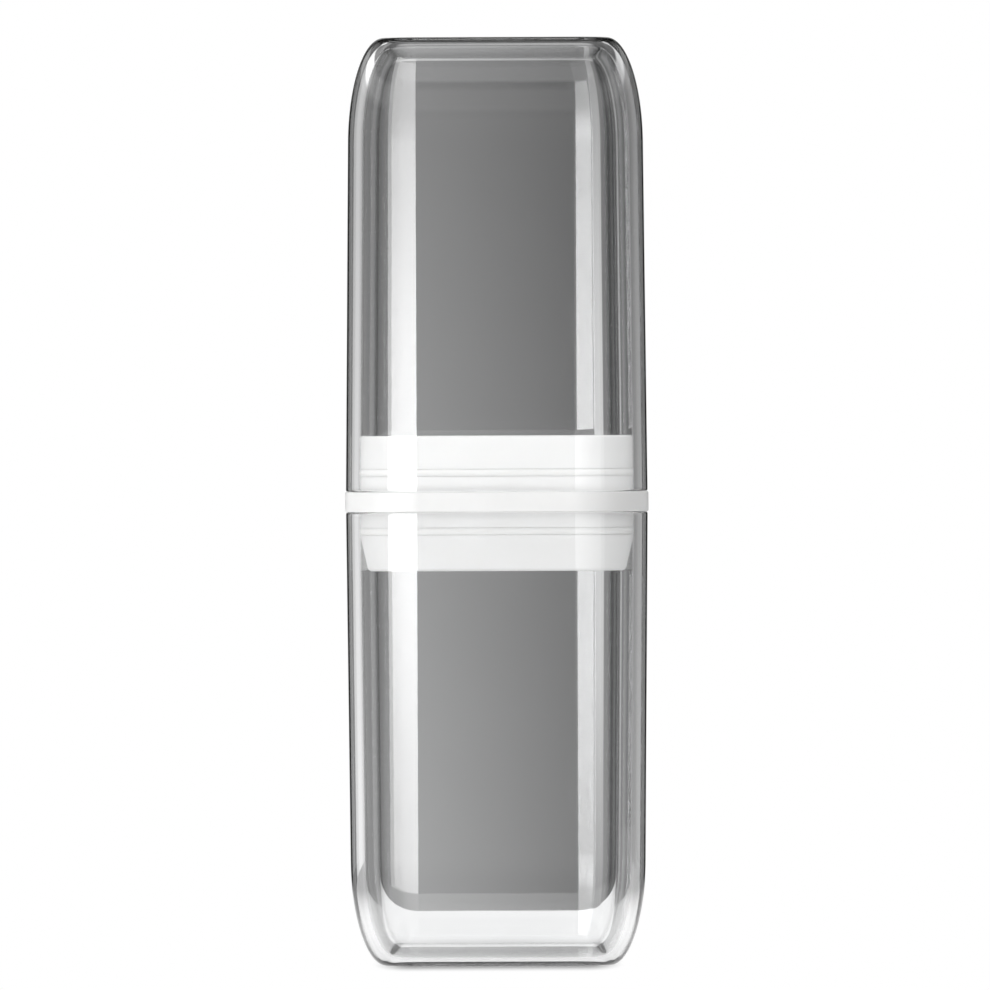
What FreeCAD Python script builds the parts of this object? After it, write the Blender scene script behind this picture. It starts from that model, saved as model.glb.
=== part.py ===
"""Toothbrush travel case: two clear cups pushed mouth to mouth on a white connector ring.

The case stands on its lower cup. Z is up, and the origin is the middle of its underside.
"""

import FreeCAD, Part
import math
import os

V = FreeCAD.Vector

# Sizes are in millimetres and angles in degrees.

# The rounded-square plan of both cups, outside, at their rims
cup_width = 68.3
cup_depth = 68.3
corner_radius = 16.1

# Cups
cup_height = 102.7
side_wall = 3.0
end_wall = 2.2
draft_angle = 0.55
shoulder_height = 23.6
end_corner_radius = 7.3
inner_end_corner_radius = 5.6
rim_round = 0.5
rim_lead_in = 0.4

# Connector ring: a flange between the rims, and a collar into each cup
flange_height = 4.6
flange_overhang = 0.2
flange_round = 0.35
upper_collar_height = 12.6
lower_collar_height = 13.3
collar_wall = 2.4
collar_round = 0.4
fit_clearance = 0.3
lead_in_margin = 0.9
lead_in_depth = 1.6
lead_in_nose = 1.0

# Seal rings in grooves of the collars
seal_offset = 4.3
seal_height = 1.6
seal_depth = 1.2
seal_gap = 0.05
crown_clearance = 0.1

# Share of a quarter curve's box that its handles reach, which makes it an ellipse
handle_share = 0.5523
# Share of the straight stretch beside the lead-in that its bend takes up
bend_share = 0.8
quarter_turn = 90
half_turn = 180

draft = math.tan(math.radians(draft_angle))
core_x = cup_width / 2 - corner_radius
core_y = cup_depth / 2 - corner_radius
upper_rim = cup_height + flange_height
case_height = upper_rim + cup_height
groove_start = seal_offset - seal_height / 2 - seal_gap
groove_end = seal_offset + seal_height / 2 + seal_gap
lead_in_start = groove_end + lead_in_margin
up = V(0, 0, 1)


class Pen:
    """Draws a closed outline edge by edge. X is the distance out from the corner axes."""

    def __init__(self, start):
        self.start = start
        self.place = start
        self.edges = []

    def line(self, end):
        self.edges.append(Part.makeLine(self.place, end))
        self.place = end

    def arc(self, middle, end):
        self.edges.append(Part.Arc(self.place, middle, end).toShape())
        self.place = end

    def curve(self, *poles):
        bezier = Part.BezierCurve()
        bezier.setPoles([self.place, *poles])
        self.edges.append(bezier.toShape())
        self.place = poles[-1]

    def bend(self, corner, reach, onward):
        """A line towards a corner, turned by an arc that starts and ends a reach from it."""
        back = (self.place - corner).normalize()
        ahead = (onward - corner).normalize()
        half = back.getAngle(ahead) / 2
        radius = reach * math.tan(half)
        middle = (back + ahead).normalize() * (radius / math.sin(half) - radius)
        self.line(corner + back * reach)
        self.arc(corner + middle, corner + ahead * reach)

    def corner(self, corner, radius, onward):
        """A line to a corner of a given radius, which ends on the line to the point onward."""
        half = (self.place - corner).getAngle(onward - corner) / 2
        self.bend(corner, radius / math.tan(half), onward)

    def face(self):
        self.line(self.start)
        return Part.Face(Part.Wire(self.edges))


def outer_reach(depth):
    """How far out a cup's outer wall lies, at a depth below its rim."""
    return corner_radius - depth * draft


def inner_reach(depth):
    """How far out a cup's inner wall lies, at a depth below its rim."""
    return outer_reach(depth) - side_wall


def collar_reach(depth):
    """How far out a collar's outer face lies, at a distance from the flange."""
    return inner_reach(depth) - fit_clearance


def groove_reach():
    """How far out the floor of a seal's groove lies."""
    return collar_reach(seal_offset) - seal_depth


def carried_round(face):
    """The solids that a profile face makes, carried round the rounded square."""
    corners = [V(core_x, core_y, 0), V(-core_x, core_y, 0), V(-core_x, -core_y, 0), V(core_x, -core_y, 0)]
    solids = []
    for number, corner in enumerate(corners):
        start = face.copy()
        start.rotate(V(0, 0, 0), up, quarter_turn * number)
        start.translate(corner)
        solids.append(start.revolve(corner, up, quarter_turn))
        end = start.copy()
        end.rotate(corner, up, quarter_turn)
        onward = corners[(number + 1) % len(corners)] - corner
        solids.append(end.extrude(onward))
    return solids


def joined(solids):
    """One solid from pieces that meet face to face."""
    shape = solids[0].multiFuse(solids[1:]).removeSplitter()
    return shape.Solids[0]


def cup():
    """A cup standing on its closed end, with a rounded shoulder and a smooth inside."""
    wall_depth = cup_height - shoulder_height
    down = V(-draft, 0, -1)
    out = V(1, 0, 0)
    foot = V(end_corner_radius, 0, 0)
    outer_wall = V(outer_reach(wall_depth), 0, shoulder_height)
    inner_wall = V(inner_reach(wall_depth), 0, shoulder_height)
    inner_foot = V(inner_end_corner_radius, 0, end_wall)
    outer_rim = V(outer_reach(0), 0, cup_height)
    inner_rim = V(inner_reach(0), 0, cup_height)

    pen = Pen(V(0, 0, 0))
    pen.line(foot)
    pen.curve(
        foot + out * handle_share * (outer_wall.x - foot.x),
        outer_wall + down * handle_share * shoulder_height,
        outer_wall,
    )
    pen.corner(outer_rim, rim_round, inner_rim)
    pen.corner(inner_rim, rim_lead_in, inner_wall)
    pen.line(inner_wall)
    pen.curve(
        inner_wall + down * handle_share * (shoulder_height - end_wall),
        inner_foot + out * handle_share * (inner_wall.x - inner_foot.x),
        inner_foot,
    )
    pen.line(V(0, 0, end_wall))
    middle = Part.makeBox(2 * core_x, 2 * core_y, end_wall, V(-core_x, -core_y, 0))
    return joined(carried_round(pen.face()) + [middle])


def groove_points(rim, way):
    """The four corners of a seal's groove, from the flange outwards along a collar."""
    near = rim + way * groove_start
    far = rim + way * groove_end
    return [
        V(collar_reach(groove_start), 0, near),
        V(groove_reach(), 0, near),
        V(groove_reach(), 0, far),
        V(collar_reach(groove_end), 0, far),
    ]


def connector_ring():
    """The flange, the collar above it and the collar below it with its lead-in."""
    bore = collar_reach(0) - collar_wall
    flange = corner_radius + flange_overhang
    top = upper_rim + upper_collar_height
    bottom = cup_height - lower_collar_height
    nose = V(collar_reach(lower_collar_height) - lead_in_depth, 0, bottom)
    inner_nose = V(bore - lead_in_depth, 0, bottom)
    bend = V(collar_reach(lead_in_start), 0, cup_height - lead_in_start)
    inner_bend = V(bore, 0, bend.z)
    bend_reach = lead_in_margin * bend_share
    lower_groove = groove_points(cup_height, -1)
    upper_groove = groove_points(upper_rim, 1)
    outer_top = V(collar_reach(upper_collar_height), 0, top)
    inner_top = V(bore, 0, top)
    flange_foot = V(flange, 0, cup_height)
    flange_top = V(flange, 0, upper_rim)
    upper_root = V(collar_reach(0), 0, upper_rim)

    pen = Pen((inner_nose + nose) / 2)
    pen.corner(nose, lead_in_nose, bend)
    pen.bend(bend, bend_reach, lower_groove[-1])
    for point in reversed(lower_groove):
        pen.line(point)
    pen.line(V(collar_reach(0), 0, cup_height))
    pen.corner(flange_foot, flange_round, flange_top)
    pen.corner(flange_top, flange_round, upper_root)
    pen.line(upper_root)
    for point in upper_groove:
        pen.line(point)
    pen.corner(outer_top, collar_round, inner_top)
    pen.corner(inner_top, collar_round, inner_bend)
    pen.bend(inner_bend, bend_reach, inner_nose)
    pen.corner(inner_nose, collar_round, nose)
    return joined(carried_round(pen.face()))


def seal_ring(rim, way):
    """A soft ring in a collar's groove, with a rounded crown towards the cup's wall."""
    near = seal_offset - seal_height / 2
    far = seal_offset + seal_height / 2
    back = groove_reach() + seal_gap
    crown = inner_reach(seal_offset) - crown_clearance
    pen = Pen(V(back, 0, rim + way * near))
    pen.line(V(collar_reach(near), 0, rim + way * near))
    pen.arc(V(crown, 0, rim + way * seal_offset), V(collar_reach(far), 0, rim + way * far))
    pen.line(V(back, 0, rim + way * far))
    return joined(carried_round(pen.face()))


def upturned(shape):
    """The same piece turned over end for end, at the top of the case."""
    turned = shape.copy()
    turned.rotate(V(0, 0, 0), V(1, 0, 0), half_turn)
    turned.translate(V(0, 0, case_height))
    return turned


def main():
    pieces = {
        "lower_cup": cup(),
        "connector_ring": connector_ring(),
        "lower_seal_ring": seal_ring(cup_height, -1),
        "upper_seal_ring": seal_ring(upper_rim, 1),
        "upper_cup": upturned(cup()),
    }
    os.makedirs("parts", exist_ok=True)
    for name, shape in pieces.items():
        shape.exportStep(f"parts/{name}.step")
        box = shape.optimalBoundingBox(False, False)
        print(name, shape.isValid(), f"{box.XLength:.2f} x {box.YLength:.2f} x {box.ZLength:.2f}")


main()
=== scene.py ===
"""Toothbrush travel case: clear cups on a white connector ring with seal rings, in a small studio."""

import math

import bpy
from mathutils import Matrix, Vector


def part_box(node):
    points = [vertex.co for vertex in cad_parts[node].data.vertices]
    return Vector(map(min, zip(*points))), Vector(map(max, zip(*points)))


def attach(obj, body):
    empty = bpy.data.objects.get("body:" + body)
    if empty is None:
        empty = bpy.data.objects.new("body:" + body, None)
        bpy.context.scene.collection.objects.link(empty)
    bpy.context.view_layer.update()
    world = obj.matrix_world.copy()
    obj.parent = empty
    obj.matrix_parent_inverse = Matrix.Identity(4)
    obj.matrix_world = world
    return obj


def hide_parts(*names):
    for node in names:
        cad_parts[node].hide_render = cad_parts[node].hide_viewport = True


bl_info = {
    "name": "Toothbrush Travel Case",
    "version": (1, 0, 0),
    "blender": (4, 5, 0),
    "location": "3D View > Sidebar > Travel Case",
    "description": "Builds the cups, connector ring and seal rings of a clear travel case, and its studio",
    "category": "Object",
}

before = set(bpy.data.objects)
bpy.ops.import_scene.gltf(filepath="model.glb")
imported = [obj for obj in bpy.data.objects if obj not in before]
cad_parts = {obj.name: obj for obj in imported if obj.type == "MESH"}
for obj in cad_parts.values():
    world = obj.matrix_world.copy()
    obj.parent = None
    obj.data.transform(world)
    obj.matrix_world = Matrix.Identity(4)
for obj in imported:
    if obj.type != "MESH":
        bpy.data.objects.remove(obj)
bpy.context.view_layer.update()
lower_cup_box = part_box("lower_cup")
upper_cup_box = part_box("upper_cup")
ring_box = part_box("connector_ring")


def length(name, description, default):
    """A length in metres, shown to a tenth of a millimetre."""
    return bpy.props.FloatProperty(
        name=name, description=description, default=default, min=0, unit="LENGTH", precision=4
    )


def angle(name, description, degrees):
    return bpy.props.FloatProperty(
        name=name, description=description, default=math.radians(degrees), subtype="ANGLE", precision=2
    )


def level(name, description, default):
    return bpy.props.FloatProperty(name=name, description=description, default=default, min=0)


def colour(name, description, default):
    return bpy.props.FloatVectorProperty(
        name=name, description=description, default=default, size=3, min=0, max=1, subtype="COLOR"
    )


def count(name, description, default):
    return bpy.props.IntProperty(name=name, description=description, default=default, min=2, max=64)


class CaseSizes(bpy.types.PropertyGroup):
    """Sizes of the case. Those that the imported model's boxes give are read from them."""

    cup_width: length("Cup Width", "Outside width of both cups at the rim", 0.0683)
    cup_depth: length("Cup Depth", "Outside depth of both cups at the rim", 0.0683)
    cup_height: length("Cup Height", "From a cup's closed end to its rim", lower_cup_box[1].z)
    case_height: length("Case Height", "From the underside to the top", upper_cup_box[1].z)
    corner_radius: length("Corner Radius", "Upright corners of the cups, at the rim", 0.0161)
    side_wall: length("Side Wall", "Thickness of a cup's side", 0.003)
    end_wall: length("End Wall", "Thickness of a cup's closed end", 0.0022)
    draft_angle: angle("Draft", "Lean of a cup's sides", 0.55)
    shoulder_height: length("Shoulder Height", "Height of the curve from side to closed end", 0.0236)
    end_corner: length("End Corner", "Corner radius of the closed end's flat", 0.0073)
    inner_end_corner: length("Inner End Corner", "The same inside the cup", 0.0056)
    rim_round: length("Rim Round", "Rounding of the rim outside", 0.0005)
    rim_lead_in: length("Rim Lead-in", "Rounding of the rim inside", 0.0004)
    flange_overhang: length("Flange Overhang", "How far the flange stands out past the rims", 0.0002)
    flange_round: length("Flange Round", "Rounding of the flange's edges", 0.00035)
    ring_top: length("Ring Top", "Height of the upper collar's end", ring_box[1].z)
    ring_foot: length("Ring Foot", "Height of the lower collar's end", ring_box[0].z)
    collar_wall: length("Collar Wall", "Thickness of the collars", 0.0024)
    collar_round: length("Collar Round", "Rounding of the collars' ends", 0.0004)
    fit_clearance: length("Fit Clearance", "Gap between a collar and a cup", 0.0003)
    lead_in_margin: length("Lead-in Margin", "Straight stretch between the seal and the lead-in", 0.0009)
    lead_in_depth: length("Lead-in Depth", "How far the lower collar tapers in", 0.0016)
    lead_in_nose: length("Lead-in Nose", "Rounding of the tapered end", 0.001)
    seal_offset: length("Seal Offset", "From a rim to the middle of its seal", 0.0043)
    seal_height: length("Seal Height", "Height of a seal ring", 0.0016)
    seal_depth: length("Seal Depth", "Depth of a seal's groove", 0.0012)
    seal_gap: length("Seal Gap", "Play between a seal and its groove", 0.00005)
    crown_clearance: length("Crown Clearance", "From a seal's crown to the cup's wall", 0.0001)
    corner_steps: count("Corner Steps", "Divisions of each upright corner", 40)
    flat_steps: count("Flat Steps", "Divisions of each flat side", 8)


class CaseFinish(bpy.types.PropertyGroup):
    """Colours and gloss of the case's three plastics."""

    clear: colour("Clear Plastic", "Tint of the cups", (0.985, 0.988, 0.99))
    clear_ior: level("Refraction", "Refractive index of the cups", 1.57)
    white: colour("White Plastic", "Connector ring", (0.9, 0.9, 0.895))
    silicone: colour("White Silicone", "Seal rings", (0.88, 0.88, 0.87))


class StudioSettings(bpy.types.PropertyGroup):
    """Camera and light of the studio."""

    camera_distance: length("Camera Distance", "From the camera to the case's middle", 3.3)
    camera_height: length("Camera Height", "Height of the camera above the floor", 0.125)
    aim_height: length("Aim Height", "Height of the point at the middle of the view", 0.1064)
    view_width: length("View Width", "Width of the view at the case", 0.2254)
    camera_roll: angle("Camera Roll", "Lean of the camera about its line of sight", -0.22)
    strip_level: level("Strip Lights", "Brightness of the strip lights that the cups show", 6.9)
    left_level: level("Left Softbox", "Brightness of the softbox on the left", 6.3)
    right_level: level("Right Softbox", "Brightness of the softbox on the right", 2.5)
    top_level: level("Overhead Softbox", "Brightness of the softbox overhead", 1.7)
    room_level: level("Room", "Brightness of the room on matt surfaces", 0.3)
    fill_level: level("Fill", "Brightness of the room on matt surfaces behind the clear walls", 1.12)
    ceiling_level: level("Ceiling", "Brightness of the ceiling that the cups show", 0.4)


# Sections of the pieces


class Section:
    """Points of a wall's section. X is the distance out from the corner axes, and Y is up."""

    # Divisions of a curve and of a small rounding
    CURVE_STEPS = 26
    ROUND_STEPS = 7
    # Longest stretch of a straight run, and how close to its ends its first and last points lie
    LONGEST = 0.008
    GUARD = 0.0004
    GUARD_SHARE = 0.25

    def __init__(self, start):
        self.points = [Vector(start)]

    def line(self, end):
        """A straight run, with points close to its ends that keep the shading of its middle flat."""
        start = self.points[-1]
        run = Vector(end) - start
        guard = min(self.GUARD / run.length, self.GUARD_SHARE) if run.length else 0
        steps = max(1, math.ceil(run.length / self.LONGEST))
        shares = [guard + (1 - 2 * guard) * step / steps for step in range(steps + 1)]
        self.points += [start + run * share for share in shares + [1]]

    def curve(self, first, second, end):
        """A cubic curve with two handles."""
        start = self.points[-1]
        for step in range(1, self.CURVE_STEPS + 1):
            t = step / self.CURVE_STEPS
            s = 1 - t
            self.points.append(
                start * s**3 + first * (3 * s * s * t) + second * (3 * s * t * t) + end * t**3
            )

    def arc(self, middle, end):
        """A flat arc through a middle point to an end."""
        start = self.points[-1]
        chord = end - start
        rise = middle - (start + end) / 2
        radius = (chord.length_squared / 4 + rise.length_squared) / (2 * rise.length)
        centre = middle - rise.normalized() * radius
        half = math.asin(min(1, chord.length / (2 * radius)))
        if rise.length > radius:
            half = math.pi - half
        for step in range(1, self.ROUND_STEPS + 1):
            turn = half * (2 * step / self.ROUND_STEPS - 1)
            away = rise.normalized() * math.cos(turn) + chord.normalized() * math.sin(turn)
            self.points.append(centre + away * radius)

    def bend(self, corner, reach, onward):
        """A line towards a corner, turned by an arc that starts and ends a reach from it."""
        corner = Vector(corner)
        back = (self.points[-1] - corner).normalized()
        ahead = (Vector(onward) - corner).normalized()
        half = back.angle(ahead) / 2
        radius = reach * math.tan(half)
        self.line(corner + back * reach)
        middle = corner + (back + ahead).normalized() * (radius / math.sin(half) - radius)
        self.arc(middle, corner + ahead * reach)

    def corner(self, corner, radius, onward):
        """A line to a corner of a given radius, which ends on the line to the point onward."""
        corner = Vector(corner)
        half = (self.points[-1] - corner).angle(Vector(onward) - corner) / 2
        self.bend(corner, radius / math.tan(half), onward)

    def close(self):
        self.line(self.points[0])


class Plan:
    """How far out the walls lie, by the distance from a rim."""

    def __init__(self, sizes):
        self.sizes = sizes
        self.draft = math.tan(sizes.draft_angle)
        self.lower_rim = sizes.cup_height
        self.upper_rim = sizes.case_height - sizes.cup_height

    def outer(self, depth):
        return self.sizes.corner_radius - depth * self.draft

    def inner(self, depth):
        return self.outer(depth) - self.sizes.side_wall

    def collar(self, depth):
        return self.inner(depth) - self.sizes.fit_clearance

    def groove(self):
        return self.collar(self.sizes.seal_offset) - self.sizes.seal_depth


# Share of a quarter curve's box that its handles reach, which makes it an ellipse
HANDLE_SHARE = 0.5523
# Share of the straight stretch beside the lead-in that its bend takes up
BEND_SHARE = 0.8


def cup_section(sizes):
    """From the middle of the underside, up the outside, over the rim and down the inside."""
    plan = Plan(sizes)
    wall_depth = sizes.cup_height - sizes.shoulder_height
    down = Vector((-plan.draft, -1))
    out = Vector((1, 0))
    foot = Vector((sizes.end_corner, 0))
    outer_wall = Vector((plan.outer(wall_depth), sizes.shoulder_height))
    inner_wall = Vector((plan.inner(wall_depth), sizes.shoulder_height))
    inner_foot = Vector((sizes.inner_end_corner, sizes.end_wall))
    outer_rim = Vector((plan.outer(0), sizes.cup_height))
    inner_rim = Vector((plan.inner(0), sizes.cup_height))

    section = Section((0, 0))
    section.line(foot)
    section.curve(
        foot + out * HANDLE_SHARE * (outer_wall.x - foot.x),
        outer_wall + down * HANDLE_SHARE * sizes.shoulder_height,
        outer_wall,
    )
    section.corner(outer_rim, sizes.rim_round, inner_rim)
    section.corner(inner_rim, sizes.rim_lead_in, inner_wall)
    section.line(inner_wall)
    section.curve(
        inner_wall + down * HANDLE_SHARE * (sizes.shoulder_height - sizes.end_wall),
        inner_foot + out * HANDLE_SHARE * (inner_wall.x - inner_foot.x),
        inner_foot,
    )
    section.line((0, sizes.end_wall))
    return section.points


def groove_points(sizes, rim, way):
    """The four corners of a seal's groove, from the flange outwards along a collar."""
    plan = Plan(sizes)
    reach = sizes.seal_height / 2 + sizes.seal_gap
    near = sizes.seal_offset - reach
    far = sizes.seal_offset + reach
    return [
        Vector((plan.collar(near), rim + way * near)),
        Vector((plan.groove(), rim + way * near)),
        Vector((plan.groove(), rim + way * far)),
        Vector((plan.collar(far), rim + way * far)),
    ]


def ring_section(sizes):
    """The flange, the collar above it, and the collar below it with its lead-in."""
    plan = Plan(sizes)
    bore = plan.collar(0) - sizes.collar_wall
    flange = sizes.corner_radius + sizes.flange_overhang
    lower_groove = groove_points(sizes, plan.lower_rim, -1)
    upper_groove = groove_points(sizes, plan.upper_rim, 1)
    foot_depth = plan.lower_rim - sizes.ring_foot
    top_depth = sizes.ring_top - plan.upper_rim
    bend_height = lower_groove[-1].y - sizes.lead_in_margin
    bend_reach = sizes.lead_in_margin * BEND_SHARE
    nose = Vector((plan.collar(foot_depth) - sizes.lead_in_depth, sizes.ring_foot))
    inner_nose = Vector((bore - sizes.lead_in_depth, sizes.ring_foot))
    bend = Vector((plan.collar(plan.lower_rim - bend_height), bend_height))
    inner_bend = Vector((bore, bend_height))
    outer_top = Vector((plan.collar(top_depth), sizes.ring_top))
    inner_top = Vector((bore, sizes.ring_top))
    flange_foot = Vector((flange, plan.lower_rim))
    flange_top = Vector((flange, plan.upper_rim))
    upper_root = Vector((plan.collar(0), plan.upper_rim))

    section = Section((inner_nose + nose) / 2)
    section.corner(nose, sizes.lead_in_nose, bend)
    section.bend(bend, bend_reach, lower_groove[-1])
    for point in reversed(lower_groove):
        section.line(point)
    section.line((plan.collar(0), plan.lower_rim))
    section.corner(flange_foot, sizes.flange_round, flange_top)
    section.corner(flange_top, sizes.flange_round, upper_root)
    section.line(upper_root)
    for point in upper_groove:
        section.line(point)
    section.corner(outer_top, sizes.collar_round, inner_top)
    section.corner(inner_top, sizes.collar_round, inner_bend)
    section.bend(inner_bend, bend_reach, inner_nose)
    section.corner(inner_nose, sizes.collar_round, nose)
    section.close()
    return section.points


def seal_section(sizes, rim, way):
    """A soft ring in a collar's groove, with a rounded crown towards the cup's wall."""
    plan = Plan(sizes)
    half = way * sizes.seal_height / 2
    low = sizes.seal_offset - half
    high = sizes.seal_offset + half
    back = plan.groove() + sizes.seal_gap
    crown = plan.inner(sizes.seal_offset) - sizes.crown_clearance
    section = Section((back, rim + way * low))
    section.line((plan.collar(low), rim + way * low))
    section.arc(
        Vector((crown, rim + way * sizes.seal_offset)),
        Vector((plan.collar(high), rim + way * high)),
    )
    section.line((back, rim + way * high))
    section.close()
    return section.points


# Node trees


class Wiring:
    """Adds nodes to a tree and joins them up, laid out in columns."""

    COLUMN_NODES = 6
    COLUMN_WIDTH = 220
    NODE_HEIGHT = 260
    # Sockets of a Mix node by its kind of data: the two that go in, and the one that comes out
    MIX_SOCKETS = {"FLOAT": (2, 3, 0), "VECTOR": (4, 5, 1), "RGBA": (6, 7, 2)}

    def __init__(self, tree):
        self.tree = tree

    def add(self, kind, values=None, **settings):
        """A node with its settings. Values go into its inputs by name, and a socket is linked."""
        node = self.tree.nodes.new(kind)
        place = len(self.tree.nodes) - 1
        column, row = divmod(place, self.COLUMN_NODES)
        node.location = (self.COLUMN_WIDTH * column, -self.NODE_HEIGHT * row)
        for key, value in settings.items():
            setattr(node, key, value)
        for key, value in (values or {}).items():
            self.put(node.inputs[key], value)
        return node

    def put(self, socket, value):
        if isinstance(value, bpy.types.NodeSocket):
            self.tree.links.new(value, socket)
        else:
            socket.default_value = value

    def math(self, operation, *values, clamp=False):
        values = dict(enumerate(values))
        node = self.add("ShaderNodeMath", values, operation=operation, use_clamp=clamp)
        return node.outputs[0]

    def vector_math(self, operation, *values):
        node = self.add("ShaderNodeVectorMath", dict(enumerate(values)), operation=operation)
        return node.outputs["Vector"]

    def combine(self, x, y, z):
        return self.add("ShaderNodeCombineXYZ", {"X": x, "Y": y, "Z": z}).outputs[0]

    def mix(self, kind, factor, first, second):
        """A number, vector or colour between two others."""
        one, two, out = self.MIX_SOCKETS[kind]
        node = self.add("ShaderNodeMix", {"Factor": factor, one: first, two: second}, data_type=kind)
        return node.outputs[out]

    def mix_shaders(self, factor, first, second):
        node = self.add("ShaderNodeMixShader", {0: factor, 1: first, 2: second})
        return node.outputs[0]


SWEEP = "rounded_square_sweep"
# Length of the short first and last step of a flat side, as a share of the side
SIDE_GUARD = 0.012
CREASE_ANGLE = math.radians(40)
MERGE_DISTANCE = 1e-6
QUARTERS = 4
QUARTER_TURN = math.pi / 2


def sweep_tree():
    """A tree that carries a section round a rounded square. Filled ends close its two end points."""
    tree = bpy.data.node_groups.new(SWEEP, "GeometryNodeTree")
    for name, kind in (
        ("Section", "NodeSocketGeometry"),
        ("Core Width", "NodeSocketFloat"),
        ("Core Depth", "NodeSocketFloat"),
        ("Corner Steps", "NodeSocketInt"),
        ("Flat Steps", "NodeSocketInt"),
        ("Guard Share", "NodeSocketFloat"),
        ("Filled Ends", "NodeSocketBool"),
        ("Crease Angle", "NodeSocketFloat"),
        ("Finish", "NodeSocketMaterial"),
    ):
        tree.interface.new_socket(name, in_out="INPUT", socket_type=kind)
    tree.interface.new_socket("Piece", in_out="OUTPUT", socket_type="NodeSocketGeometry")

    wire = Wiring(tree)
    given = wire.add("NodeGroupInput").outputs
    section, width, depth = given["Section"], given["Core Width"], given["Core Depth"]
    corner_steps, flat_steps = given["Corner Steps"], given["Flat Steps"]

    points = wire.add("GeometryNodeAttributeDomainSize", {"Geometry": section}, component="MESH")
    rows = points.outputs["Point Count"]
    quarter_steps = wire.math("ADD", corner_steps, flat_steps)
    columns = wire.math("MULTIPLY_ADD", quarter_steps, QUARTERS, 1)
    sheet = wire.add("GeometryNodeMeshGrid", {"Vertices X": columns, "Vertices Y": rows})

    index = wire.add("GeometryNodeInputIndex").outputs["Index"]
    column = wire.math("FLOOR", wire.math("DIVIDE", index, rows))
    row = wire.math("SUBTRACT", index, wire.math("MULTIPLY", column, rows))
    quarter = wire.math("FLOOR", wire.math("DIVIDE", column, quarter_steps))
    step = wire.math("SUBTRACT", column, wire.math("MULTIPLY", quarter, quarter_steps))
    bent = wire.math("DIVIDE", wire.math("MINIMUM", step, corner_steps), corner_steps)
    turn = wire.math("MULTIPLY", wire.math("ADD", quarter, bent), QUARTER_TURN)
    inside = wire.math("SUBTRACT", flat_steps, 2)
    guard = given["Guard Share"]
    open_share = wire.math("MULTIPLY_ADD", guard, -2, 1)

    def along(number):
        """The share of a flat side at a step. The first and last steps are short and keep it flat."""
        start = wire.math("MULTIPLY", wire.math("MINIMUM", number, 1), guard)
        middle = wire.math("MAXIMUM", wire.math("SUBTRACT", number, 1), 0)
        middle = wire.math("DIVIDE", wire.math("MINIMUM", middle, inside), inside)
        end = wire.math("SUBTRACT", wire.math("SUBTRACT", number, inside), 1)
        end = wire.math("MULTIPLY", wire.math("MAXIMUM", end, 0), guard)
        return wire.math("ADD", wire.math("MULTIPLY_ADD", middle, open_share, start), end)

    flat_step = wire.math("MAXIMUM", wire.math("SUBTRACT", step, corner_steps), 0)

    def corner(number):
        """A corner axis of the plan, by its number of quarter turns from the first."""
        bearing = wire.math("MULTIPLY_ADD", number, QUARTER_TURN, QUARTER_TURN / 2)
        reach = math.sqrt(2) / 2
        x = wire.math("MULTIPLY", wire.math("COSINE", bearing), wire.math("MULTIPLY", width, reach))
        y = wire.math("MULTIPLY", wire.math("SINE", bearing), wire.math("MULTIPLY", depth, reach))
        return wire.combine(x, y, 0)

    next_corner = corner(wire.math("ADD", quarter, 1))
    axis = wire.mix("VECTOR", along(flat_step), corner(quarter), next_corner)

    position = wire.add("GeometryNodeInputPosition").outputs["Position"]

    def sampled(number):
        """A point of the section, as its reach outwards and its height."""
        sample = wire.add(
            "GeometryNodeSampleIndex",
            {"Geometry": section, "Index": number},
            data_type="FLOAT_VECTOR",
            domain="POINT",
        )
        wire.put(sample.inputs["Value"], position)
        split = wire.add("ShaderNodeSeparateXYZ", {0: sample.outputs["Value"]})
        return split.outputs["X"], split.outputs["Z"]

    reach, height = sampled(row)
    out = wire.combine(
        wire.math("MULTIPLY", reach, wire.math("COSINE", turn)),
        wire.math("MULTIPLY", reach, wire.math("SINE", turn)),
        height,
    )
    wall = wire.add(
        "GeometryNodeSetPosition",
        {
            "Geometry": sheet.outputs["Mesh"],
            "Position": wire.vector_math("ADD", axis, out),
        },
    )

    side_points = wire.math("ADD", flat_steps, 1)
    plate_column = wire.math("FLOOR", wire.math("DIVIDE", index, side_points))
    plate_row = wire.math("SUBTRACT", index, wire.math("MULTIPLY", plate_column, side_points))
    plate_x = wire.math("MULTIPLY", wire.math("SUBTRACT", along(plate_column), 0.5), width)
    plate_y = wire.math("MULTIPLY", wire.math("SUBTRACT", along(plate_row), 0.5), depth)

    def plate(number):
        """The flat inside the corner axes, at the height of one of the section's end points."""
        flat = wire.add(
            "GeometryNodeMeshGrid", {"Vertices X": side_points, "Vertices Y": side_points}
        ).outputs["Mesh"]
        place = wire.combine(plate_x, plate_y, sampled(number)[1])
        moved = wire.add("GeometryNodeSetPosition", {"Geometry": flat, "Position": place})
        return moved.outputs["Geometry"]

    first = wire.add("GeometryNodeFlipFaces", {"Mesh": plate(0)}).outputs["Mesh"]
    last = plate(wire.math("SUBTRACT", rows, 1))
    plates = wire.add("GeometryNodeJoinGeometry")
    wire.put(plates.inputs[0], first)
    wire.put(plates.inputs[0], last)
    ends = wire.add("GeometryNodeSwitch", {"Switch": given["Filled Ends"]}, input_type="GEOMETRY")
    wire.put(ends.inputs["True"], plates.outputs[0])

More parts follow.
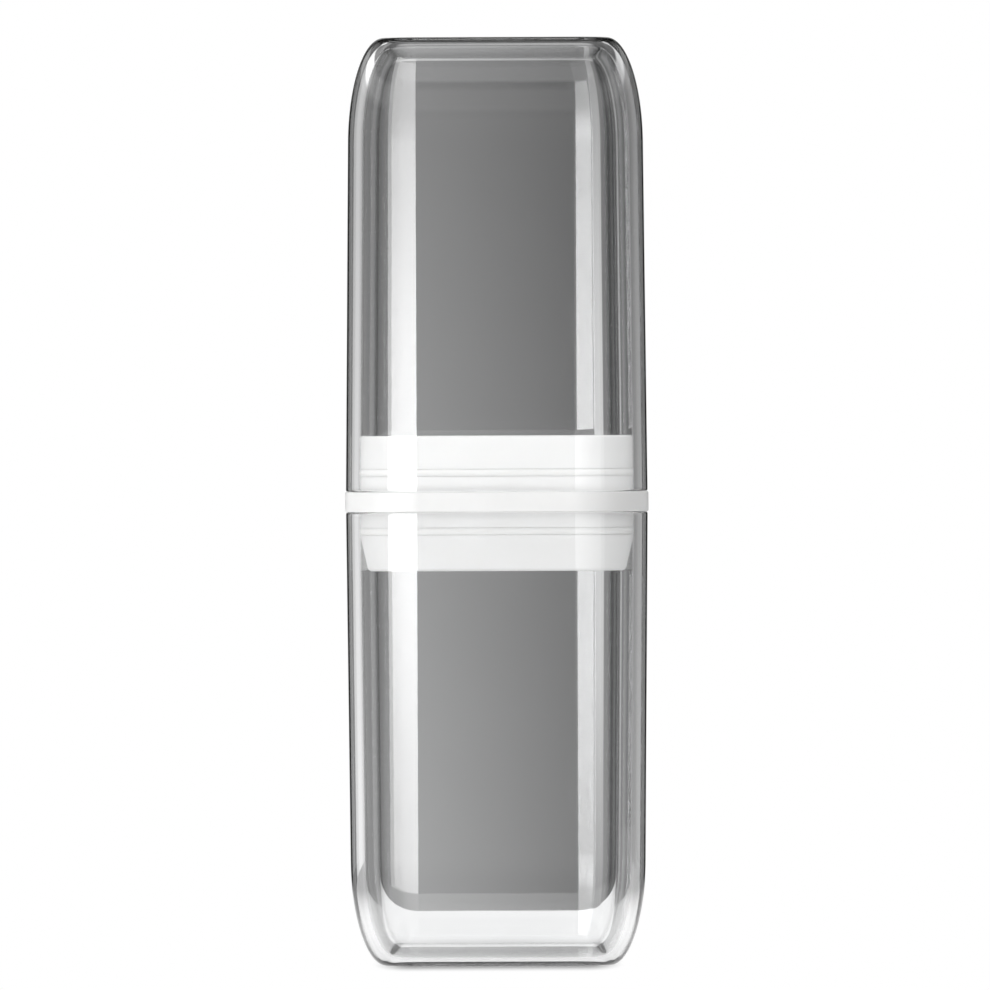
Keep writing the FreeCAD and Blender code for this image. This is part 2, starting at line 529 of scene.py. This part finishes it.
    whole = wire.add("GeometryNodeJoinGeometry")
    wire.put(whole.inputs[0], wall.outputs["Geometry"])
    wire.put(whole.inputs[0], ends.outputs["Output"])
    merged = wire.add(
        "GeometryNodeMergeByDistance", {"Geometry": whole.outputs[0], "Distance": MERGE_DISTANCE}
    )
    smooth = wire.add("GeometryNodeSetShadeSmooth", {0: merged.outputs["Geometry"]}, domain="FACE")
    bend = wire.add("GeometryNodeInputMeshEdgeAngle").outputs["Unsigned Angle"]
    crease = wire.math("GREATER_THAN", bend, given["Crease Angle"])
    creased = wire.add(
        "GeometryNodeSetShadeSmooth",
        {0: smooth.outputs[0], "Selection": crease, "Shade Smooth": False},
        domain="EDGE",
    )
    real = wire.add("GeometryNodeRealizeInstances", {"Geometry": creased.outputs[0]})
    finished = wire.add(
        "GeometryNodeSetMaterial",
        {"Geometry": real.outputs["Geometry"], "Material": given["Finish"]},
    )
    wire.add("NodeGroupOutput", {"Piece": finished.outputs["Geometry"]})
    return tree


def swept_piece(name, points, finish, filled=False):
    """A named piece that a section makes, carried round the case's rounded square."""
    sizes = bpy.context.scene.case_sizes
    tree = bpy.data.node_groups.get(SWEEP) or sweep_tree()
    section = bpy.data.meshes.new(name + "_section")
    section.from_pydata([(point.x, 0, point.y) for point in points], [], [])
    piece = bpy.data.objects.new(name, section)
    bpy.context.collection.objects.link(piece)
    sweep = piece.modifiers.new("Sweep", "NODES")
    sweep.node_group = tree
    values = {
        "Core Width": sizes.cup_width - 2 * sizes.corner_radius,
        "Core Depth": sizes.cup_depth - 2 * sizes.corner_radius,
        "Corner Steps": sizes.corner_steps,
        "Flat Steps": sizes.flat_steps,
        "Guard Share": SIDE_GUARD,
        "Filled Ends": filled,
        "Crease Angle": CREASE_ANGLE,
        "Finish": finish,
    }
    for socket in tree.interface.items_tree:
        if socket.in_out == "INPUT" and socket.name in values:
            sweep[socket.identifier] = values[socket.name]
    depsgraph = bpy.context.evaluated_depsgraph_get()
    mesh = bpy.data.meshes.new_from_object(piece.evaluated_get(depsgraph), depsgraph=depsgraph)
    piece.modifiers.clear()
    piece.data = mesh
    mesh.name = name
    bpy.data.meshes.remove(section)
    if not mesh.polygons:
        raise RuntimeError(f"{name} came out empty")
    return piece


def placed(piece, node, body):
    """The piece stands for its CAD node and moves with that node's body."""
    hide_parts(node)
    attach(piece, body)


# Finishes


def shader_group(name, inputs, outputs):
    """An empty shader node group with named values in and out."""
    group = bpy.data.node_groups.new(name, "ShaderNodeTree")
    for socket, kind in inputs:
        group.interface.new_socket(socket, in_out="INPUT", socket_type=kind)
    for socket, kind in outputs:
        group.interface.new_socket(socket, in_out="OUTPUT", socket_type=kind)
    wire = Wiring(group)
    return group, wire, wire.add("NodeGroupInput").outputs


def moulded_surface_group():
    """Slow flow of the melt and fine grain of the tool, as a height, and patches as a mask."""
    known = bpy.data.node_groups.get("moulded_surface")
    if known:
        return known
    group, wire, given = shader_group(
        "moulded_surface",
        [
            ("Vector", "NodeSocketVector"),
            ("Flow Scale", "NodeSocketFloat"),
            ("Grain Scale", "NodeSocketFloat"),
            ("Grain Share", "NodeSocketFloat"),
        ],
        [("Height", "NodeSocketFloat"), ("Patches", "NodeSocketFloat")],
    )
    flow = wire.add(
        "ShaderNodeTexNoise",
        {"Vector": given["Vector"], "Scale": given["Flow Scale"], "Detail": 2.0, "Roughness": 0.45},
    )
    grain = wire.add(
        "ShaderNodeTexNoise",
        {"Vector": given["Vector"], "Scale": given["Grain Scale"], "Detail": 1.0, "Roughness": 0.5},
    )
    height = wire.mix("FLOAT", given["Grain Share"], flow.outputs[0], grain.outputs[0])
    patches = wire.add(
        "ShaderNodeMapRange", {"Value": flow.outputs[0], "From Min": 0.3, "From Max": 0.7}
    )
    wire.add("NodeGroupOutput", {"Height": height, "Patches": patches.outputs[0]})
    return group


def handling_marks_group():
    """Fine hairlines of handling, in two directions, and soft smudges, as masks."""
    known = bpy.data.node_groups.get("handling_marks")
    if known:
        return known
    group, wire, given = shader_group(
        "handling_marks",
        [
            ("Vector", "NodeSocketVector"),
            ("Hairline Scale", "NodeSocketFloat"),
            ("Smudge Scale", "NodeSocketFloat"),
        ],
        [("Hairlines", "NodeSocketFloat"), ("Smudges", "NodeSocketFloat")],
    )
    lines = []
    for tilt, stretch in ((0.35, 14), (-0.6, 18)):
        turned = wire.add(
            "ShaderNodeMapping",
            {
                "Vector": given["Vector"],
                "Rotation": (tilt, 2 * tilt, tilt),
                "Scale": (stretch, stretch, 1),
            },
        )
        scratch = wire.add(
            "ShaderNodeTexNoise",
            {
                "Vector": turned.outputs[0],
                "Scale": given["Hairline Scale"],
                "Detail": 3.0,
                "Roughness": 0.7,
            },
        )
        thin = wire.add(
            "ShaderNodeMapRange", {"Value": scratch.outputs[0], "From Min": 0.66, "From Max": 0.74}
        )
        lines.append(thin.outputs[0])
    smudge = wire.add(
        "ShaderNodeTexNoise",
        {"Vector": given["Vector"], "Scale": given["Smudge Scale"], "Detail": 4.0, "Roughness": 0.6},
    )
    soft = wire.add(
        "ShaderNodeMapRange",
        {"Value": smudge.outputs[0], "From Min": 0.5, "From Max": 0.8},
        interpolation_type="SMOOTHSTEP",
    )
    wire.add(
        "NodeGroupOutput",
        {"Hairlines": wire.math("MAXIMUM", *lines), "Smudges": soft.outputs[0]},
    )
    return group


def new_material(name):
    """A material with its Principled shader, and the point on the piece that its patterns read."""
    material = bpy.data.materials.new(name)
    material.use_nodes = True
    material.node_tree.nodes.clear()
    wire = Wiring(material.node_tree)
    place = wire.add("ShaderNodeTexCoord").outputs["Object"]
    shader = wire.add("ShaderNodeBsdfPrincipled")
    return material, wire, place, shader


def place_group(wire, group, values):
    """A node of a shader group with its values set."""
    node = wire.add("ShaderNodeGroup", node_tree=group)
    for name, value in values.items():
        wire.put(node.inputs[name], value)
    return node.outputs


def blended(wire, factor, first, second):
    """A colour between two others."""
    return wire.mix("RGBA", factor, (*first, 1), (*second, 1))


def patchy(wire, patches, tone, share):
    """A tone that goes over into a share of itself in patches."""
    return blended(wire, patches, tone, [value * share for value in tone])


def worn(wire, marks, polish, hairlines, smudges):
    """The roughness of a polish, and what hairlines and smudges add to it."""
    scratched = wire.math("MULTIPLY_ADD", marks["Hairlines"], hairlines, polish)
    return wire.math("MULTIPLY_ADD", marks["Smudges"], smudges, scratched)


def finish_shader(wire, shader, colour, roughness, bump, settings):
    """Links a finish into its Principled shader, and sets the shader's plain values by name."""
    wire.put(shader.inputs["Base Color"], colour)
    wire.put(shader.inputs["Roughness"], roughness)
    wire.put(shader.inputs["Normal"], wire.add("ShaderNodeBump", bump).outputs[0])
    for name, value in settings.items():
        shader.inputs[name].default_value = value


def clear_plastic():
    """Polished clear plastic. Light for the pieces inside passes it."""
    known = bpy.data.materials.get("polished_clear")
    if known:
        return known
    finish = bpy.context.scene.case_finish
    material, wire, place, shader = new_material("polished_clear")
    surface = place_group(
        wire,
        moulded_surface_group(),
        {"Vector": place, "Flow Scale": 45.0, "Grain Scale": 900.0, "Grain Share": 0.02},
    )
    marks = place_group(
        wire, handling_marks_group(), {"Vector": place, "Hairline Scale": 55.0, "Smudge Scale": 38.0}
    )
    finish_shader(
        wire,
        shader,
        patchy(wire, surface["Patches"], finish.clear, share=0.985),
        worn(wire, marks, polish=0.012, hairlines=0.05, smudges=0.02),
        {"Height": surface["Height"], "Strength": 0.02, "Distance": 0.0004},
        {"IOR": finish.clear_ior, "Transmission Weight": 1},
    )
    passed = wire.add("ShaderNodeBsdfTransparent", {"Color": (0.97, 0.97, 0.97, 1)})
    rays = wire.add("ShaderNodeLightPath")
    mixed = wire.mix_shaders(rays.outputs["Is Shadow Ray"], shader.outputs[0], passed.outputs[0])
    wire.add("ShaderNodeOutputMaterial", {"Surface": mixed})
    return material


def opaque_finish(name, tone, roughness, grain, subsurface):
    """A pale moulded plastic or silicone with patches, grain and faint handling marks."""
    known = bpy.data.materials.get(name)
    if known:
        return known
    material, wire, place, shader = new_material(name)
    surface = place_group(
        wire,
        moulded_surface_group(),
        {"Vector": place, "Flow Scale": 70.0, "Grain Scale": 2600.0, "Grain Share": grain},
    )
    marks = place_group(
        wire, handling_marks_group(), {"Vector": place, "Hairline Scale": 80.0, "Smudge Scale": 60.0}
    )
    finish_shader(
        wire,
        shader,
        patchy(wire, surface["Patches"], tone, share=0.965),
        worn(wire, marks, polish=roughness, hairlines=0.1, smudges=0.08),
        {"Height": surface["Height"], "Strength": 0.12, "Distance": 0.0002},
        {
            "IOR": 1.47,
            "Subsurface Weight": subsurface,
            "Subsurface Radius": (1, 0.95, 0.9),
            "Subsurface Scale": 0.001,
        },
    )
    wire.add("ShaderNodeOutputMaterial", {"Surface": shader.outputs[0]})
    return material


def white_plastic():
    tone = bpy.context.scene.case_finish.white
    return opaque_finish("satin_white", tone, roughness=0.34, grain=0.6, subsurface=0.1)


def white_silicone():
    tone = bpy.context.scene.case_finish.silicone
    return opaque_finish("matt_silicone", tone, roughness=0.55, grain=0.8, subsurface=0.25)


# Studio


def unscattered(wire):
    """One for the light that reaches the camera without a matt surface on its way."""
    depth = wire.add("ShaderNodeLightPath").outputs["Diffuse Depth"]
    return wire.math("SUBTRACT", 1, depth, clamp=True)


def shown_rays(wire):
    """One for the rays that see the background: from the camera, reflected or refracted."""
    rays = wire.add("ShaderNodeLightPath").outputs
    by_the_case = wire.math("MAXIMUM", rays["Is Glossy Ray"], rays["Is Transmission Ray"])
    shown = wire.math("MAXIMUM", rays["Is Camera Ray"], by_the_case)
    return wire.math("MULTIPLY", shown, unscattered(wire))


def white_world(settings):
    """White as a background, and softer as light."""
    world = bpy.data.worlds.new("studio_room")
    world.use_nodes = True
    world.node_tree.nodes.clear()
    wire = Wiring(world.node_tree)
    tone = blended(wire, shown_rays(wire), (settings.room_level,) * 3, (1, 1, 1))
    light = wire.add("ShaderNodeBackground", {"Color": tone, "Strength": 1.0})
    wire.add("ShaderNodeOutputWorld", {"Surface": light.outputs[0]})
    bpy.context.scene.world = world


def stage_material(name):
    """An empty material for the stage, and the point that its patterns read."""
    material = bpy.data.materials.new(name)
    material.use_nodes = True
    material.node_tree.nodes.clear()
    wire = Wiring(material.node_tree)
    return material, wire, wire.add("ShaderNodeTexCoord").outputs["Object"]


def smooth_fade(wire, vector, near, far, least):
    """A value that rises smoothly from its least to one, as a vector's length goes from near to far."""
    away = wire.add("ShaderNodeVectorMath", {0: vector}, operation="LENGTH").outputs["Value"]
    fade = wire.add(
        "ShaderNodeMapRange",
        {"Value": away, "From Min": near, "From Max": far, "To Min": least},
        interpolation_type="SMOOTHSTEP",
    )
    return fade.outputs[0]


# Painted shade at the case's foot, which only the camera sees: half the width and depth of its core in
# metres, how much faster it ends at the sides, how far it reaches and how much of the floor's tone it
# takes
PAINTED_SHADE_CORE = (0.02, 0.006, 0)
PAINTED_SHADE_SCALE = (5, 1, 0)
PAINTED_SHADE_REACH = 0.045
PAINTED_SHADE_DEPTH = 0.72
# How much narrower the floor's matt middle is than it is deep, as the clear walls show it
MIDDLE_SCALE = (1.5, 1, 1)


def floor_material():
    """Pale and matt near the case, with a painted shade round its foot that only the camera sees, and
    white farther off.

    The clear walls show it as a white card that is grey at its sides.
    """
    material, wire, place = stage_material("studio_floor")
    speckle = wire.add("ShaderNodeTexNoise", {"Vector": place, "Scale": 180.0, "Detail": 3.0})
    tone = blended(wire, speckle.outputs[0], (0.93, 0.93, 0.93), (0.9, 0.9, 0.9))
    direct = wire.add("ShaderNodeLightPath").outputs["Is Camera Ray"]
    # Painted shade: camera rays see the matt floor at 28% of its tone, darker than its real light and
    # shadow make it
    painted_shade = wire.math("MULTIPLY_ADD", direct, -PAINTED_SHADE_DEPTH, 1)
    matt = wire.add("ShaderNodeBsdfDiffuse", {"Color": wire.vector_math("MULTIPLY", tone, painted_shade)})
    middle = wire.vector_math("MULTIPLY", place, MIDDLE_SCALE)
    middle_fade = smooth_fade(wire, middle, near=0.022, far=0.075, least=0.36)
    through = wire.math("MULTIPLY", middle_fade, shown_rays(wire))
    # Where the painted shade lies: full round the foot, fading to white floor a little way off, sooner at
    # the sides
    beside = wire.vector_math("SUBTRACT", wire.vector_math("ABSOLUTE", place), PAINTED_SHADE_CORE)
    beside = wire.vector_math("MAXIMUM", beside, (0, 0, 0))
    beside = wire.vector_math("MULTIPLY", beside, PAINTED_SHADE_SCALE)
    painted_shade_fade = smooth_fade(wire, beside, near=0, far=PAINTED_SHADE_REACH, least=0)
    # Camera rays see the matt floor with its painted shade near the foot; other rays see the lit matt
    # middle
    white_share = wire.mix("FLOAT", direct, through, painted_shade_fade)
    across = wire.vector_math("MULTIPLY", place, (1, 0, 0))
    card = smooth_fade(wire, across, near=0.16, far=0.06, least=0.5)
    white = wire.add("ShaderNodeEmission", {"Strength": wire.math("MAXIMUM", card, direct)})
    mixed = wire.mix_shaders(white_share, matt.outputs[0], white.outputs[0])
    wire.add("ShaderNodeOutputMaterial", {"Surface": mixed})
    return material


# Radius, foot and top of the studio's wall in metres, and its brightness at full shares
WALL_RADIUS = 1.3
WALL_BASE = -0.6
WALL_TOP = 1.2
WALL_GAIN = 2
# Share of the wall's brightness by bearing, in degrees from straight behind the case, left to right:
# a grey middle between dark flags, and lit panels at the sides
WALL_PANELS = (
    (-180, 0.2),
    (-100, 0.35),
    (-66, 0.5),
    (-58, 0.58),
    (-50, 0.78),
    (-42, 0.78),
    (-36, 0.6),
    (-30, 0.57),
    (-28, 0.05),
    (-18, 0.05),
    (-13, 0.17),
    (-9, 0.24),
    (-6, 0.26),
    (-1.5, 0.35),
    (1.5, 0.143),
    (6, 0.2),
    (9, 0.2),
    (11, 0.02),
    (26, 0.02),
    (28, 0.42),
    (43, 0.38),
    (50, 0.27),
    (60, 0.25),
    (75, 0.2),
    (180, 0.2),
)
# The same by height above the floor, in metres: a light band runs high up
WALL_HEIGHTS = (
    (-0.6, 0.3),
    (-0.2, 0.35),
    (-0.03, 0.65),
    (0.22, 0.4),
    (0.47, 0.4),
    (0.52, 1.0),
    (0.72, 1.0),
    (0.8, 0.2),
)
# Strip lights, two in front of the case and a slim one behind it: distance from the case, first and
# last bearing, foot, top, share of the brightness, how much of that is even and half the height of
# the rest
STRIPS = (
    (0.9, -177.6, -132.5, -0.35, 1.15, 1, 0.5, 0.095),
    (0.9, 134.5, 178.5, -0.35, 1.15, 0.15, 0.5, 0.095),
    (0.28, 8.1, 10.95, 0, 0.26, 0.094, 0.35, 0.085),
)
# Height at which the strip lights are brightest
STRIP_MIDDLE = 0.107
# Softboxes: name, degrees to the right of the camera's line, distance from the case, height and size
SOFTBOXES = (
    ("softbox_left", -50, 0.45, 0.06, 0.25),
    ("softbox_right", 40, 0.9, 0.1, 0.5),
    ("softbox_overhead", 0, 0.1, 1.0, 0.9),
)
# Point that the softboxes are turned to
LIT_POINT = (0, 0, 0.105)
# Degrees that one face of an upright sheet spans
SHEET_STEP = 3


def brightness_ramp(wire, value, low, high, stops):
    """A brightness that runs through stops, for values from low to high."""
    share = wire.add("ShaderNodeMapRange", {"Value": value, "From Min": low, "From Max": high})
    ramp = wire.add("ShaderNodeValToRGB", {0: share.outputs[0]})
    elements = ramp.color_ramp.elements
    while len(elements) < len(stops):
        elements.new(1)
    for element, (place, brightness) in zip(elements, stops):
        element.position = (place - low) / (high - low)
        element.color = (brightness, brightness, brightness, 1)
    return ramp.outputs[0]


def stage_glow(material, wire, strength, tone=(1, 1, 1, 1)):
    """Ends a stage material with its glow, and an even fill for light that a matt surface takes up."""
    seen = unscattered(wire)
    fill = (bpy.context.scene.case_studio.fill_level,) * 3
    colour = wire.mix("RGBA", seen, (*fill, 1), tone)
    strength = wire.math("POWER", strength, seen)
    glow = wire.add("ShaderNodeEmission", {"Color": colour, "Strength": strength})
    wire.add("ShaderNodeOutputMaterial", {"Surface": glow.outputs[0]})
    return material


def wall_material():
    """A studio wall with its panels."""
    material, wire, place = stage_material("studio_wall")
    split = wire.add("ShaderNodeSeparateXYZ", {0: place}).outputs
    turn = wire.math("DEGREES", wire.math("ARCTAN2", split["X"], split["Y"]))
    panels = brightness_ramp(wire, turn, -180, 180, WALL_PANELS)
    heights = brightness_ramp(wire, split["Z"], WALL_BASE, WALL_TOP, WALL_HEIGHTS)
    return stage_glow(material, wire, wire.math("MULTIPLY", heights, WALL_GAIN), panels)


def strip_material(settings, name, share, even, half_height):
    """A strip light, brightest at the height of the case's middle."""
    material, wire, place = stage_material(name)
    height = wire.add("ShaderNodeSeparateXYZ", {0: place}).outputs["Z"]
    away = wire.math("DIVIDE", wire.math("SUBTRACT", height, STRIP_MIDDLE), half_height)
    square = wire.math("MULTIPLY", away, away)
    falloff = wire.math("DIVIDE", 1 - even, wire.math("MULTIPLY_ADD", square, square, 1))
    strength = wire.math("MULTIPLY", wire.math("ADD", falloff, even), settings.strip_level * share)
    return stage_glow(material, wire, strength)


def ceiling_material(settings):
    """A ceiling that is lit over the case and dark towards the walls."""
    material, wire, place = stage_material("studio_ceiling")
    flat = wire.vector_math("MULTIPLY", place, (1, 1, 0))
    lit = smooth_fade(wire, flat, near=0.8, far=0.5, least=0.25)
    return stage_glow(material, wire, wire.math("MULTIPLY", lit, settings.ceiling_level))


def upright_sheet(name, radius, first, last, low, high):
    """A sheet that stands round the case, between two bearings from straight behind it."""
    steps = max(2, round(abs(last - first) / SHEET_STEP))
    points = []
    for step in range(steps + 1):
        turn = math.radians(first + (last - first) * step / steps)
        for height in (low, high):
            points.append((radius * math.sin(turn), radius * math.cos(turn), height))
    faces = [(2 * step, 2 * step + 2, 2 * step + 3, 2 * step + 1) for step in range(steps)]
    mesh = bpy.data.meshes.new(name)
    mesh.from_pydata(points, [], faces)
    return mesh


def level_sheet(name, half_width, front, back, height):
    """A level sheet, from a line in front of the case to one behind it."""
    corners = [(-half_width, front), (half_width, front), (half_width, back), (-half_width, back)]
    mesh = bpy.data.meshes.new(name)
    mesh.from_pydata([(x, y, height) for x, y in corners], [], [(0, 1, 2, 3)])
    return mesh


def stage_piece(name, mesh, material):
    piece = bpy.data.objects.new(name, mesh)
    bpy.context.collection.objects.link(piece)
    mesh.materials.append(material)
    return piece


def aimed(thing, place, target):
    """The object at a place, turned towards a target."""
    thing.location = place
    thing.rotation_euler = (Vector(target) - Vector(place)).to_track_quat("-Z", "Y").to_euler()


def mirrored_only(piece):
    """The stage piece is seen only as it is reflected in the case or through its clear walls."""
    piece.visible_camera = False
    piece.visible_diffuse = False
    piece.visible_shadow = False


def softbox(name, place, size, brightness):
    """A square soft lamp of a given brightness, which lights matt surfaces and isn't itself seen."""
    lamp = bpy.data.lights.new(name, "AREA")
    lamp.shape = "RECTANGLE"
    lamp.size = size
    lamp.size_y = size
    lamp.energy = brightness * math.pi * size * size
    thing = bpy.data.objects.new(name, lamp)
    bpy.context.collection.objects.link(thing)
    aimed(thing, place, LIT_POINT)
    thing.visible_camera = False
    thing.visible_glossy = False
    thing.visible_transmission = False


def bearing(degrees, distance, height):
    """A place in front of the case, by degrees to the right of the camera's line."""
    turn = math.radians(degrees)
    return (distance * math.sin(turn), -distance * math.cos(turn), height)


def make_camera(settings):
    """A distant camera in front of the case, a little to the left of its middle."""
    camera = bpy.data.cameras.new("camera")
    camera.sensor_width = 36
    camera.lens = camera.sensor_width * settings.camera_distance / settings.view_width
    camera.clip_start = 0.01
    camera.dof.use_dof = False
    thing = bpy.data.objects.new("camera", camera)
    bpy.context.collection.objects.link(thing)
    aside = -0.0004
    aimed(
        thing,
        (aside, -settings.camera_distance, settings.camera_height),
        (aside, 0, settings.aim_height),
    )
    thing.rotation_euler.rotate_axis("Z", settings.camera_roll)
    bpy.context.scene.camera = thing


# Operators


class TRAVEL_CASE_OT_cups(bpy.types.Operator):
    """Make the two clear cups, one standing on its closed end and one turned over on top"""

    bl_idname = "travel_case.cups"
    bl_label = "Clear Cups"

    def execute(self, context):
        sizes = context.scene.case_sizes
        points = cup_section(sizes)
        upturned = [Vector((point.x, sizes.case_height - point.y)) for point in reversed(points)]
        for name, section in (("lower_cup", points), ("upper_cup", upturned)):
            piece = swept_piece(name + "_shell", section, clear_plastic(), filled=True)
            placed(piece, name, name)
        return {"FINISHED"}


class TRAVEL_CASE_OT_connector_ring(bpy.types.Operator):
    """Make the white ring: its flange and the collar into each cup"""

    bl_idname = "travel_case.connector_ring"
    bl_label = "Connector Ring"

    def execute(self, context):
        section = ring_section(context.scene.case_sizes)
        piece = swept_piece("connector_ring_body", section, white_plastic())
        placed(piece, "connector_ring", "connector")
        return {"FINISHED"}


class TRAVEL_CASE_OT_seal_rings(bpy.types.Operator):
    """Make the soft seal ring in the groove of each collar"""

    bl_idname = "travel_case.seal_rings"
    bl_label = "Seal Rings"

    def execute(self, context):
        sizes = context.scene.case_sizes
        plan = Plan(sizes)
        for name, rim, way in (
            ("lower_seal_ring", plan.lower_rim, -1),
            ("upper_seal_ring", plan.upper_rim, 1),
        ):
            piece = swept_piece(name + "_band", seal_section(sizes, rim, way), white_silicone())
            placed(piece, name, "connector")
        return {"FINISHED"}


class TRAVEL_CASE_OT_studio(bpy.types.Operator):
    """Make the floor, grey walls, soft lamps, white background and camera"""

    bl_idname = "travel_case.studio"
    bl_label = "Studio"

    def execute(self, context):
        settings = context.scene.case_studio
        context.scene.view_settings.view_transform = "Standard"
        context.scene.cycles.max_bounces = 32
        context.scene.cycles.transmission_bounces = 32
        context.scene.cycles.glossy_bounces = 20
        white_world(settings)
        floor = level_sheet("floor", half_width=0.8, front=-0.1, back=0.295, height=-0.0003)
        stage_piece("floor", floor, floor_material())
        ceiling = level_sheet("ceiling", WALL_RADIUS, -WALL_RADIUS, WALL_RADIUS, WALL_TOP)
        mirrored_only(stage_piece("ceiling", ceiling, ceiling_material(settings)))
        wall = upright_sheet("wall", WALL_RADIUS, -180, 180, WALL_BASE, WALL_TOP)
        mirrored_only(stage_piece("wall", wall, wall_material()))
        for number, (radius, first, last, low, high, *light) in enumerate(STRIPS, 1):
            name = f"strip_{number}"
            sheet = upright_sheet(name, radius, first, last, low, high)
            mirrored_only(stage_piece(name, sheet, strip_material(settings, name, *light)))
        levels = (settings.left_level, settings.right_level, settings.top_level)
        for (name, degrees, distance, height, size), brightness in zip(SOFTBOXES, levels):
            softbox(name, bearing(degrees, distance, height), size, brightness)
        make_camera(settings)
        return {"FINISHED"}


class TRAVEL_CASE_PT_panel(bpy.types.Panel):
    """The steps that build the travel case"""

    bl_label = "Travel Case"
    bl_idname = "TRAVEL_CASE_PT_panel"
    bl_space_type = "VIEW_3D"
    bl_region_type = "UI"
    bl_category = "Travel Case"

    def draw(self, context):
        for operator in operators:
            self.layout.operator(operator.bl_idname)


settings_groups = {"case_sizes": CaseSizes, "case_finish": CaseFinish, "case_studio": StudioSettings}
operators = (
    TRAVEL_CASE_OT_cups,
    TRAVEL_CASE_OT_connector_ring,
    TRAVEL_CASE_OT_seal_rings,
    TRAVEL_CASE_OT_studio,
)


def register():
    for group in settings_groups.values():
        bpy.utils.register_class(group)
    for name, group in settings_groups.items():
        setattr(bpy.types.Scene, name, bpy.props.PointerProperty(type=group))
    for operator in operators:
        bpy.utils.register_class(operator)
    bpy.utils.register_class(TRAVEL_CASE_PT_panel)


def unregister():
    bpy.utils.unregister_class(TRAVEL_CASE_PT_panel)
    for operator in reversed(operators):
        bpy.utils.unregister_class(operator)
    for name, group in reversed(settings_groups.items()):
        delattr(bpy.types.Scene, name)
        bpy.utils.unregister_class(group)


def main():
    register()
    bpy.ops.travel_case.cups()
    bpy.ops.travel_case.connector_ring()
    bpy.ops.travel_case.seal_rings()
    bpy.ops.travel_case.studio()


if __name__ == "__main__":
    main()
